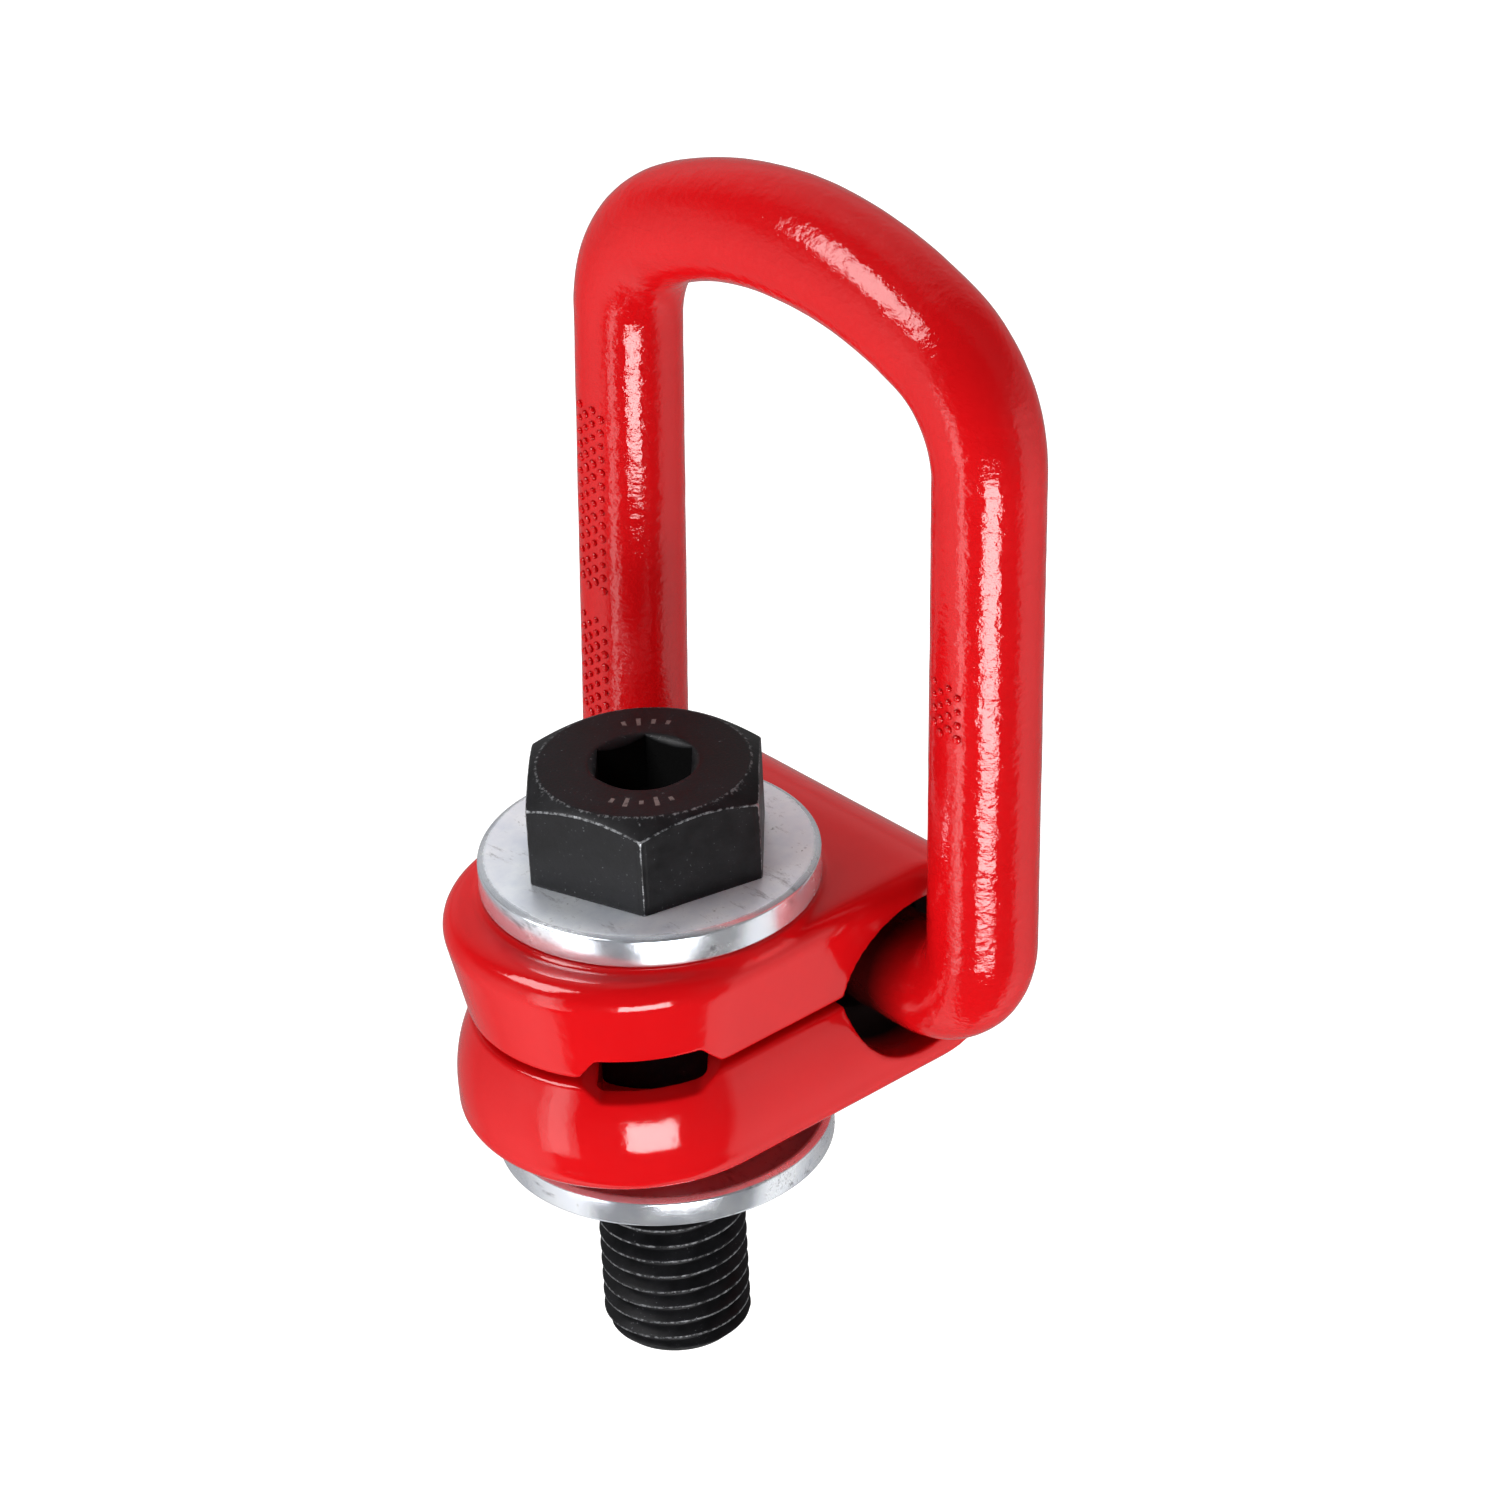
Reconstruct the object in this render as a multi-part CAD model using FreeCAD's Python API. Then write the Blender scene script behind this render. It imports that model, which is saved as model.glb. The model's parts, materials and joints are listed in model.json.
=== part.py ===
"""Swivel hoist ring, M20: a forged body that turns on a bolted bushing and carries a pivoting bail.

Millimetres, +Z up along the bolt. The origin is on the bolt's axis at the underside of the bushing
flange, where the ring seats on its load. +X points from the bolt to the bail's pivot bar, which runs
along Y. The bail is drawn at its rest lean, a few degrees from upright.
"""
import FreeCAD, Part
import math
import os

V = FreeCAD.Vector
X_AXIS = V(1, 0, 0)
Y_AXIS = V(0, 1, 0)
Z_AXIS = V(0, 0, 1)
ORIGIN = V(0, 0, 0)

# How far blanks and cutters run past the surfaces they meet
MARGIN = 6.0

# Hoist bolt: M20, 75 long under the head
THREAD_R = 10.0
STUD_LENGTH = 30.5
TIP_R = 8.4
HEAD_AF = 30.0
HEAD_HEIGHT = 12.9
HEAD_TURN = 47.7
CHAMFER_CIRCLE_R = 14.0
CORNER_DROP = 1.9
SOCKET_AF = 12.4
SOCKET_DEPTH = 8.0
SOCKET_RIM_R = 7.3
SOCKET_RIM_FOOT_R = 5.3
SOCKET_RIM_DEPTH = 1.0

# Plated washer and bushing
FLANGE_R = 22.6
FLANGE_HEIGHT = 4.0
SLEEVE_R = 13.5
SLEEVE_BORE_R = THREAD_R + 0.08
SLEEVE_TOP = 40.1
WASHER_R = 22.5
WASHER_BORE_R = 10.5
WASHER_HEIGHT = 4.4
RIM_BEVEL = 0.5
HEAD_SEAT = SLEEVE_TOP + WASHER_HEIGHT

# Retaining ring under the bushing, in a groove of the bolt
GROOVE_R = 9.1
GROOVE_HEIGHT = 1.5
RING_R = 11.3
RING_HEIGHT = 1.2
RING_OPENING = 3.0
COUNTERBORE_R = 12.1
COUNTERBORE_DEPTH = 3.0

# Swivel body: two leaves round the bolt that join in a loop round the pivot bar
END_PLAY = 0.1
BODY_BORE_R = SLEEVE_R + 0.09
LEAF_BOTTOM = 7.4
LEAF_TOP = 39.4
GAP_Z = 23.5
GAP = 0.9
NOSE_X = -4.7
GAP_HALF_WIDTH = 21.3
TOP_HALF_WIDTH = 24.6
BOTTOM_HALF_WIDTH = 24.2
TOP_ROUND = 3.0
BOTTOM_ROUND = 3.2
LIP_ROUND = 1.1
BOTTOM_BULGE = 0.8
TOP_BOSS_R = (23.6, 22.6)
TOP_BOSS_FOOT = 38.6
LOWER_BOSS_R = 17.5
PIVOT_X = 26.0
PIVOT_Z = (LEAF_TOP + LEAF_BOTTOM) / 2.0
LOOP_R = (LEAF_TOP - LEAF_BOTTOM) / 2.0
FILLING_OVERLAP = 1.35

# Tunnel for the pivot bar: a bore with a wider chamber at each mouth, where the bail's corners turn
TUNNEL_R = 8.9
CHAMBER_R = 11.8
CHAMBER_START = 13.0
CHAMBER_ROUND = CHAMBER_R - TUNNEL_R

# Recess in the nose, across the gap: a slot with sloping ends that opens into a pocket
RECESS_ANGLE = 227.0
RECESS_TOP_HALF = 6.8
RECESS_FOOT_HALF = 9.6
RECESS_FLOOR_HALF = 6.3
RECESS_RISE = 3.5
RECESS_DROP = 2.0
POCKET_HALF_WIDTH = 7.0
POCKET_WALL = 3.0
POCKET_DROP = 7.5
POCKET_RISE = 4.2

# Bail: a D-shaped ring of round bar, thickest at the crown
BAR_R = 7.35
JOIN_R = 8.0
CROWN_R = 8.3
LEG_SPACING = 69.4
BAIL_HEIGHT = 97.5
ARCH_R = 59.6
SHOULDER_R = 17.0
CORNER_R = 10.0
REST_LEAN = 3.0

# Leaf spring in the tunnel, between its roof and the pivot bar
SPRING_HALF_LENGTH = 8.0
SPRING_WIDTH = 3.2
SPRING_THICKNESS = 0.6
SPRING_BOW = 0.4
SPRING_CLEARANCE = 0.35


def cylinder(radius, bottom, top):
    return Part.makeCylinder(radius, top - bottom, V(0, 0, bottom), Z_AXIS)


def ring(outer, inner, bottom, top):
    return cylinder(outer, bottom, top).cut(cylinder(inner, bottom - MARGIN, top + MARGIN))


def hexagon(across_flats, turn, bottom, top):
    corner = across_flats / math.sqrt(3.0)
    points = []
    for k in range(7):
        angle = math.radians(turn + 60.0 * k)
        points.append(V(corner * math.cos(angle), corner * math.sin(angle), bottom))
    return Part.Face(Part.makePolygon(points)).extrude(V(0, 0, top - bottom))


def revolved(profile):
    """A face in the XZ plane, turned once about the Z axis."""
    return profile.revolve(ORIGIN, Z_AXIS, 360.0)


def hoist_bolt():
    shank_top = HEAD_SEAT + HEAD_HEIGHT
    chamfer = THREAD_R - TIP_R
    outline = [
        V(0, 0, -STUD_LENGTH),
        V(TIP_R, 0, -STUD_LENGTH),
        V(THREAD_R, 0, chamfer - STUD_LENGTH),
        V(THREAD_R, 0, 0),
        V(GROOVE_R, 0, 0),
        V(GROOVE_R, 0, GROOVE_HEIGHT),
        V(THREAD_R, 0, GROOVE_HEIGHT),
        V(THREAD_R, 0, HEAD_SEAT),
        V(0, 0, HEAD_SEAT),
        V(0, 0, -STUD_LENGTH),
    ]
    shank = revolved(Part.Face(Part.makePolygon(outline)))
    corner = HEAD_AF / math.sqrt(3.0)
    slope = CORNER_DROP / (corner - CHAMFER_CIRCLE_R)
    reach = corner + MARGIN
    cap_outline = [
        V(0, 0, HEAD_SEAT),
        V(reach, 0, HEAD_SEAT),
        V(reach, 0, shank_top - slope * (reach - CHAMFER_CIRCLE_R)),
        V(CHAMFER_CIRCLE_R, 0, shank_top),
        V(0, 0, shank_top),
        V(0, 0, HEAD_SEAT),
    ]
    cap = revolved(Part.Face(Part.makePolygon(cap_outline)))
    head = hexagon(HEAD_AF, HEAD_TURN, HEAD_SEAT, shank_top).common(cap)
    socket = hexagon(SOCKET_AF, HEAD_TURN, shank_top - SOCKET_DEPTH, shank_top + MARGIN)
    rim_foot = V(0, 0, shank_top - SOCKET_RIM_DEPTH)
    rim = Part.makeCone(SOCKET_RIM_FOOT_R, SOCKET_RIM_R, SOCKET_RIM_DEPTH, rim_foot, Z_AXIS)
    return shank.fuse(head).cut(socket).cut(rim).removeSplitter()


def bevelled_disc(outer, inner, bottom, top):
    outline = [
        V(inner, 0, bottom),
        V(outer - RIM_BEVEL, 0, bottom),
        V(outer, 0, bottom + RIM_BEVEL),
        V(outer, 0, top - RIM_BEVEL),
        V(outer - RIM_BEVEL, 0, top),
        V(inner, 0, top),
        V(inner, 0, bottom),
    ]
    return revolved(Part.Face(Part.makePolygon(outline)))


def load_washer():
    return bevelled_disc(WASHER_R, WASHER_BORE_R, SLEEVE_TOP, HEAD_SEAT)


def bushing_flange():
    return bevelled_disc(FLANGE_R, SLEEVE_R, 0.0, FLANGE_HEIGHT)


def bushing_sleeve():
    sleeve = ring(SLEEVE_R, SLEEVE_BORE_R, 0.0, SLEEVE_TOP)
    return sleeve.cut(cylinder(COUNTERBORE_R, -MARGIN, COUNTERBORE_DEPTH))


def bolt_retaining_ring():
    bottom = (GROOVE_HEIGHT - RING_HEIGHT) / 2.0
    full = ring(RING_R, GROOVE_R, bottom, bottom + RING_HEIGHT)
    corner = V(0, -RING_OPENING / 2.0, bottom)
    opening = Part.makeBox(RING_R + MARGIN, RING_OPENING, RING_HEIGHT, corner)
    return full.cut(opening)


def rounded_corner(start, corner, end, radius):
    """The two tangent points and the middle of the arc that rounds a corner of a profile."""
    a = (start - corner).normalize()
    b = (end - corner).normalize()
    half = a.getAngle(b) / 2.0
    reach = radius / math.tan(half)
    centre = corner + (a + b).normalize() * (radius / math.sin(half))
    middle = centre + (corner - centre).normalize() * radius
    return corner + a * reach, middle, corner + b * reach


def leaf_profile(near, far, half_far, edge, bulge):
    """Half of a leaf's cross-section in the XZ plane, from the gap to the leaf's outer face."""
    half_near = GAP_HALF_WIDTH
    inner_near = V(0, 0, near)
    corner_near = V(half_near, 0, near)
    corner_far = V(half_far, 0, far)
    inner_far = V(0, 0, far)
    n1, n2, n3 = rounded_corner(inner_near, corner_near, corner_far, LIP_ROUND)
    f1, f2, f3 = rounded_corner(corner_near, corner_far, inner_far, edge)
    side = Part.makeLine(n3, f1)
    if bulge:
        side = Part.Arc(n3, (n3 + f1) / 2.0 + V(bulge, 0, 0), f1).toShape()
    return [
        Part.makeLine(inner_near, n1),
        Part.Arc(n1, n2, n3).toShape(),
        side,
        Part.Arc(f1, f2, f3).toShape(),
        Part.makeLine(f3, inner_far),
        Part.makeLine(inner_far, inner_near),
    ]


def leaf(near, far, half_far, edge, bulge):
    """One leaf: a half-round nose and straight sides that share one rounded profile."""
    profile = Part.Face(Part.Wire(leaf_profile(near, far, half_far, edge, bulge)))
    nose = revolved(profile.copy())
    nose.translate(V(NOSE_X, 0, 0))
    length = PIVOT_X + LOOP_R + MARGIN - NOSE_X
    sides = []
    for turn in (90.0, -90.0):
        half = profile.copy()
        half.rotate(ORIGIN, Z_AXIS, turn)
        half.translate(V(NOSE_X, 0, 0))
        sides.append(half.extrude(V(length, 0, 0)))
    return nose.fuse(sides[0]).fuse(sides[1])


def loop_filling():
    """Closes the gap between the leaves from the tunnel to the loop's end."""
    start = PIVOT_X - TUNNEL_R
    length = LOOP_R + TUNNEL_R + MARGIN
    half_height = GAP / 2.0 + FILLING_OVERLAP
    corner = V(start, -GAP_HALF_WIDTH, GAP_Z - half_height)
    return Part.makeBox(length, 2.0 * GAP_HALF_WIDTH, 2.0 * half_height, corner)


def side_profile():
    """The body seen from the side: level leaves that end in the round loop."""
    back = NOSE_X - TOP_HALF_WIDTH - MARGIN
    a = V(back, 0, LEAF_BOTTOM)
    b = V(PIVOT_X, 0, LEAF_BOTTOM)
    tip = V(PIVOT_X + LOOP_R, 0, PIVOT_Z)
    c = V(PIVOT_X, 0, LEAF_TOP)
    d = V(back, 0, LEAF_TOP)
    edges = [
        Part.makeLine(a, b),
        Part.Arc(b, tip, c).toShape(),
        Part.makeLine(c, d),
        Part.makeLine(d, a),
    ]
    half_width = TOP_HALF_WIDTH + MARGIN
    face = Part.Face(Part.Wire(edges))
    face.translate(V(0, -half_width, 0))
    return face.extrude(V(0, 2.0 * half_width, 0))


def tunnel():
    """Cutter for the pivot bar's bore and the chambers at its two mouths."""
    end = TOP_HALF_WIDTH + MARGIN
    bend = math.sqrt(0.5) * CHAMBER_ROUND
    edges = [
        Part.makeLine(ORIGIN, V(TUNNEL_R, 0, 0)),
        Part.makeLine(V(TUNNEL_R, 0, 0), V(TUNNEL_R, 0, CHAMBER_START)),
        Part.Arc(
            V(TUNNEL_R, 0, CHAMBER_START),
            V(TUNNEL_R + bend, 0, CHAMBER_START + CHAMBER_ROUND - bend),
            V(CHAMBER_R, 0, CHAMBER_START + CHAMBER_ROUND),
        ).toShape(),
        Part.makeLine(V(CHAMBER_R, 0, CHAMBER_START + CHAMBER_ROUND), V(CHAMBER_R, 0, end)),
        Part.makeLine(V(CHAMBER_R, 0, end), V(0, 0, end)),
        Part.makeLine(V(0, 0, end), ORIGIN),
    ]
    half = revolved(Part.Face(Part.Wire(edges)))
    half.rotate(ORIGIN, X_AXIS, 90.0)
    tool = half.fuse(half.mirror(ORIGIN, Y_AXIS))
    tool.translate(V(PIVOT_X, 0, PIVOT_Z))
    return tool


def nose_recess():
    """Cutter for the recess: a slot through the nose, and the pocket behind its wall."""
    half_gap = GAP / 2.0
    start = SLEEVE_R
    outline = []
    for side in (-1, 1):
        half = [
            V(start, side * RECESS_TOP_HALF, GAP_Z + half_gap + RECESS_RISE),
            V(start, side * RECESS_FOOT_HALF, GAP_Z),
            V(start, side * RECESS_FLOOR_HALF, GAP_Z - half_gap - RECESS_DROP),
        ]
        outline += half[::side]
    outline.append(outline[0])
    tool = Part.Face(Part.makePolygon(outline)).extrude(V(TOP_HALF_WIDTH, 0, 0))
    pocket_corner = V(0, -POCKET_HALF_WIDTH, GAP_Z - POCKET_DROP)
    pocket_height = POCKET_DROP + POCKET_RISE
    pocket = Part.makeBox(TOP_HALF_WIDTH, 2.0 * POCKET_HALF_WIDTH, pocket_height, pocket_corner)
    for shape in (tool, pocket):
        shape.rotate(ORIGIN, Z_AXIS, RECESS_ANGLE)
    inner_nose = cylinder(GAP_HALF_WIDTH - POCKET_WALL, 0.0, SLEEVE_TOP)
    inner_nose.translate(V(NOSE_X, 0, 0))
    return tool.fuse(pocket.common(inner_nose))


def swivel_body():
    half_gap = GAP / 2.0
    upper = leaf(GAP_Z + half_gap, LEAF_TOP, TOP_HALF_WIDTH, TOP_ROUND, 0.0)
    lower = leaf(GAP_Z - half_gap, LEAF_BOTTOM, BOTTOM_HALF_WIDTH, BOTTOM_ROUND, BOTTOM_BULGE)
    body = upper.fuse(lower).fuse(loop_filling()).common(side_profile())
    boss_top = SLEEVE_TOP - END_PLAY
    boss_height = boss_top - TOP_BOSS_FOOT
    top_boss = Part.makeCone(TOP_BOSS_R[0], TOP_BOSS_R[1], boss_height, V(0, 0, TOP_BOSS_FOOT), Z_AXIS)
    lower_boss = cylinder(LOWER_BOSS_R, FLANGE_HEIGHT + END_PLAY, GAP_Z)
    body = body.fuse(top_boss).fuse(lower_boss)
    gap_start = NOSE_X - TOP_HALF_WIDTH - MARGIN
    gap_half_width = TOP_HALF_WIDTH + MARGIN
    gap_corner = V(gap_start, -gap_half_width, GAP_Z - half_gap)
    gap = Part.makeBox(PIVOT_X - gap_start, 2.0 * gap_half_width, GAP, gap_corner)
    bore = cylinder(BODY_BORE_R, 0.0, SLEEVE_TOP + MARGIN)
    return body.cut(gap).cut(tunnel()).cut(nose_recess()).cut(bore).removeSplitter()


def bail_path():
    """Half of the bail's centreline in the YZ plane, from the pivot bar's middle to the crown."""
    half = LEG_SPACING / 2.0
    shoulder_y = half - SHOULDER_R
    arch_z = BAIL_HEIGHT - ARCH_R
    shoulder_z = arch_z + math.sqrt((ARCH_R - SHOULDER_R) ** 2 - shoulder_y ** 2)
    join = math.atan2(shoulder_y, shoulder_z - arch_z)

    def on_arc(centre_y, centre_z, radius, angle):
        return V(0, centre_y + radius * math.sin(angle), centre_z + radius * math.cos(angle))

    corner = [on_arc(half - CORNER_R, CORNER_R, CORNER_R, math.radians(a)) for a in (180, 135, 90)]
    turns = (math.pi / 2.0, (join + math.pi / 2.0) / 2.0, join)
    shoulder = [on_arc(shoulder_y, shoulder_z, SHOULDER_R, a) for a in turns]
    arch = [on_arc(0, arch_z, ARCH_R, a) for a in (join, join / 2.0, 0.0)]
    return [
        Part.makeLine(ORIGIN, corner[0]),
        Part.Arc(*corner).toShape(),
        Part.makeLine(corner[2], shoulder[0]),
        Part.Arc(*shoulder).toShape(),
        Part.Arc(*arch).toShape(),
    ]


def bail():
    path = bail_path()
    starts = [BAR_R, BAR_R, BAR_R, BAR_R, JOIN_R]
    ends = [BAR_R, BAR_R, BAR_R, JOIN_R, CROWN_R]
    solids = []
    for edge, start_r, end_r in zip(path, starts, ends):
        sections = []
        for parameter, radius in ((edge.FirstParameter, start_r), (edge.LastParameter, end_r)):
            point = edge.valueAt(parameter)
            along = edge.tangentAt(parameter)
            sections.append(Part.Wire(Part.makeCircle(radius, point, along)))
        solids.append(Part.Wire(edge).makePipeShell(sections, True, False))
    half = solids[0]
    for piece in solids[1:]:
        half = half.fuse(piece)
    whole = half.fuse(half.mirror(ORIGIN, Y_AXIS)).removeSplitter()
    whole.rotate(ORIGIN, Y_AXIS, REST_LEAN)
    whole.translate(V(PIVOT_X, 0, PIVOT_Z))
    return whole


def bail_friction_spring():
    """A bowed strip under the tunnel's roof: its ends bear on the roof, its middle on the pivot bar."""
    end = SPRING_HALF_LENGTH
    low = BAR_R + SPRING_CLEARANCE
    high = low + SPRING_THICKNESS
    foot_low = low + SPRING_BOW
    foot_high = high + SPRING_BOW
    edges = [
        Part.Arc(V(0, -end, foot_low), V(0, 0, low), V(0, end, foot_low)).toShape(),
        Part.makeLine(V(0, end, foot_low), V(0, end, foot_high)),
        Part.Arc(V(0, end, foot_high), V(0, 0, high), V(0, -end, foot_high)).toShape(),
        Part.makeLine(V(0, -end, foot_high), V(0, -end, foot_low)),
    ]
    face = Part.Face(Part.Wire(edges))
    face.translate(V(PIVOT_X - SPRING_WIDTH / 2.0, 0, PIVOT_Z))
    return face.extrude(V(SPRING_WIDTH, 0, 0))


PIECES = {
    "hoist_bolt": hoist_bolt,
    "load_washer": load_washer,
    "bushing_sleeve": bushing_sleeve,
    "bushing_flange": bushing_flange,
    "bolt_retaining_ring": bolt_retaining_ring,
    "swivel_body": swivel_body,
    "bail": bail,
    "bail_friction_spring": bail_friction_spring,
}

os.makedirs("parts", exist_ok=True)
for name, make in PIECES.items():
    shape = make()
    print(name, shape.isValid(), len(shape.Solids), round(shape.Volume), shape.BoundBox)
    shape.exportStep("parts/" + name + ".step")
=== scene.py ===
"""Looks of the M20 swivel hoist ring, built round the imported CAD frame. Metres throughout."""
import json
import math

import bpy
import bmesh
import numpy as np
from mathutils import Matrix, Vector, noise


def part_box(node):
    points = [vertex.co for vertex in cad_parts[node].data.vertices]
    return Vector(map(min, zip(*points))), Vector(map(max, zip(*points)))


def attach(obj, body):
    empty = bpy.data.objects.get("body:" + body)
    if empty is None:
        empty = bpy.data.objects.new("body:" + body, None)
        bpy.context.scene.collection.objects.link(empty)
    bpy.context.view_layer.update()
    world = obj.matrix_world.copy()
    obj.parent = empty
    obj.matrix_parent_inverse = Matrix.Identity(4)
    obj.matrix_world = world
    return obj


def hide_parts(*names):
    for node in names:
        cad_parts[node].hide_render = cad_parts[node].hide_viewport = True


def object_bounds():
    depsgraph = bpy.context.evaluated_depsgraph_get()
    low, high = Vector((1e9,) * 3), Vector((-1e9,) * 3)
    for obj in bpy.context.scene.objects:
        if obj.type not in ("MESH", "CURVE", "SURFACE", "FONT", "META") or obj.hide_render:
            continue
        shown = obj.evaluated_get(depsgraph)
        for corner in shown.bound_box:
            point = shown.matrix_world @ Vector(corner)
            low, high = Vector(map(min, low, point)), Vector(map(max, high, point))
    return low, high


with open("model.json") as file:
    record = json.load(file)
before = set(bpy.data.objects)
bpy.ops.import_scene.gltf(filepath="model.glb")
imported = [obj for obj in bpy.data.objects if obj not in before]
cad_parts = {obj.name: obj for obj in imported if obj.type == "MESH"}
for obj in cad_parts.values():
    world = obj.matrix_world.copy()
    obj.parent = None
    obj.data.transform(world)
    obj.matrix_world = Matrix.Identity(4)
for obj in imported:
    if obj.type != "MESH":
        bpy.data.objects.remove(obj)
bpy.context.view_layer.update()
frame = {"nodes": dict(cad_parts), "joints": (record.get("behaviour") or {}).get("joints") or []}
MM = 0.001

# Camera: the angle it looks from, and where the object sits in its view
CAMERA_AZIMUTH = -39.86
CAMERA_ELEVATION = 30.29
CAMERA_ROLL = -3.0
CAMERA_DISTANCE = 750 * MM
CAMERA_OFFSET = (-11.16 * MM, -50.97 * MM)
CAMERA_SENSOR = 36.0
CAMERA_LENS = 134.06

# Hoist bolt, M20 x 2.5
THREAD_R = 10.0 * MM
THREAD_PITCH = 2.5 * MM
THREAD_DEPTH = 1.53 * MM
THREAD_TOP = 3.0 * MM
THREAD_ROW = 0.1 * MM
TIP_R = 8.4 * MM
HEAD_AF = 30.0 * MM
HEAD_TURN = math.radians(47.7)
HEAD_HEIGHT = 12.9 * MM
CHAMFER_CIRCLE_R = 14.0 * MM
CORNER_DROP = 1.9 * MM
CORNER_ROUND = 0.45 * MM
SOCKET_AF = 12.4 * MM
SOCKET_DEPTH = 8.0 * MM
SOCKET_RIM_R = 7.3 * MM
EDGE = 0.12 * MM
# Value given to the socket's rings, where the bolt is painted near-black as painted shade in the hollow
SOCKET_SHADE_WEAR = -0.6
CREST_BAND = 0.22 * MM

# Plated discs: their bores, and the radii where a disc's face gives way to its rim
WASHER_BORE_R = 10.5 * MM
FLANGE_BORE_R = 13.5 * MM
RIM_RADII = (21.3 * MM, 21.8 * MM)

# Forgings: size of the remeshing voxels, and for each piece the smoothing passes and the depth of its waves
VOXEL = 0.3 * MM
BODY_SKIN = (10, 0.05 * MM)
BAIL_SKIN = (5, 0.16 * MM)

# Bail
BAIL_LEAN = math.radians(3.0)
LEG_SPACING = 69.4 * MM
BAR_R = 7.35 * MM

# Body: how far round the pivot's axis the tunnel's walls reach, and where along it the painted shade on them
# begins and where it is full
TUNNEL_REACH = 12.2 * MM
TUNNEL_SHADE_SPAN = (21.5 * MM, 16.5 * MM)

# Bail: where along the pivot bar the painted shade begins, and where it is full
BAR_SHADE_SPAN = (28.0 * MM, 20.5 * MM)

# Raised beads on the bail's legs: staggered rows, given by their places across the leg.
# A run is a leg's side, its first bead above the pivot, and the count of beads in each row.
BEAD_R = 0.62 * MM
BEAD_PROUD = 0.38 * MM
BEAD_PITCH = 1.95 * MM
BEAD_ROWS = (-2.1 * MM, -0.7 * MM, 0.7 * MM, 2.1 * MM)
BEAD_RUNS = [(1, 38.0 * MM, 14), (1, 18.6 * MM, 8), (-1, 43.0 * MM, 4)]
BEAD_UNEVENNESS = 0.3

# Etched ticks round the socket, in two opposite groups
TICK_RADIUS = 10.3 * MM
TICK_ANGLE = 0.19
TICK_GROUP = math.radians(25.0)

# Studio: the floor, and the height of the point that the lights face
FLOOR_HALF = 3.0
FLOOR_DROP = 40 * MM
LIT_HEIGHT = 40 * MM

# Surroundings: where the dark part in front of the object lies, in degrees, and the levels of light
DARK_HALF_ANGLE = 60.0
DARK_TURN = 2.5
SIDE_LEVEL = 0.9
BACK_SHARE = 0.28
BACK_GLOW = 0.42
DIM_LEVEL = 0.03


def joint_origin(name):
    """Where a joint's axis is, in metres."""
    for joint in frame["joints"]:
        if joint["name"] == name:
            return Vector(joint["pos_m"])


# ---------------------------------------------------------------- mesh helpers


def new_piece(name, verts, faces, smooth=True):
    """A mesh object in the scene."""
    mesh = bpy.data.meshes.new(name)
    mesh.from_pydata([tuple(v) for v in verts], [], [tuple(f) for f in faces])
    mesh.update()
    obj = bpy.data.objects.new(name, mesh)
    bpy.context.scene.collection.objects.link(obj)
    if smooth:
        mesh.polygons.foreach_set("use_smooth", [True] * len(mesh.polygons))
    return obj


def ring_faces(rings, around):
    """Quads between rings of equal length, each closed on itself."""
    faces = []
    for row in range(rings - 1):
        a = row * around
        b = a + around
        for k in range(around):
            n = (k + 1) % around
            faces.append((a + k, a + n, b + n, b + k))
    return faces


def turned(name, profile, around=256):
    """A closed solid of revolution about Z: profile is a loop of (radius, height)."""
    angles = np.linspace(0.0, 2.0 * math.pi, around, endpoint=False)
    verts = []
    for radius, height in profile:
        verts += [(radius * math.cos(a), radius * math.sin(a), height) for a in angles]
    faces = ring_faces(len(profile), around)
    last = (len(profile) - 1) * around
    for k in range(around):
        n = (k + 1) % around
        faces.append((last + k, last + n, n, k))
    obj = new_piece(name, verts, faces)
    fix_normals(obj)
    return obj


def fix_normals(obj):
    """Turns all faces outward."""
    work = bmesh.new()
    work.from_mesh(obj.data)
    bmesh.ops.recalc_face_normals(work, faces=work.faces)
    work.to_mesh(obj.data)
    work.free()


def apply_modifiers(obj):
    """Replaces the mesh by what its modifiers make of it."""
    bpy.context.view_layer.update()
    evaluated = obj.evaluated_get(bpy.context.evaluated_depsgraph_get())
    mesh = bpy.data.meshes.new_from_object(evaluated)
    obj.modifiers.clear()
    obj.data = mesh


def rounded(points, steps=5):
    """A profile with rounded corners: points are (radius, height, rounding)."""
    out = []
    count = len(points)
    for i in range(count):
        corner = Vector(points[i][:2])
        rounding = points[i][2]
        if rounding == 0.0:
            out.append(tuple(corner))
            continue
        before = Vector(points[i - 1][:2])
        after = Vector(points[(i + 1) % count][:2])
        start = corner + (before - corner).normalized() * rounding
        end = corner + (after - corner).normalized() * rounding
        for s in range(steps + 1):
            t = s / steps
            out.append(tuple(start.lerp(corner, t).lerp(corner.lerp(end, t), t)))
    return out


# ---------------------------------------------------------------- material helpers


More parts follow.
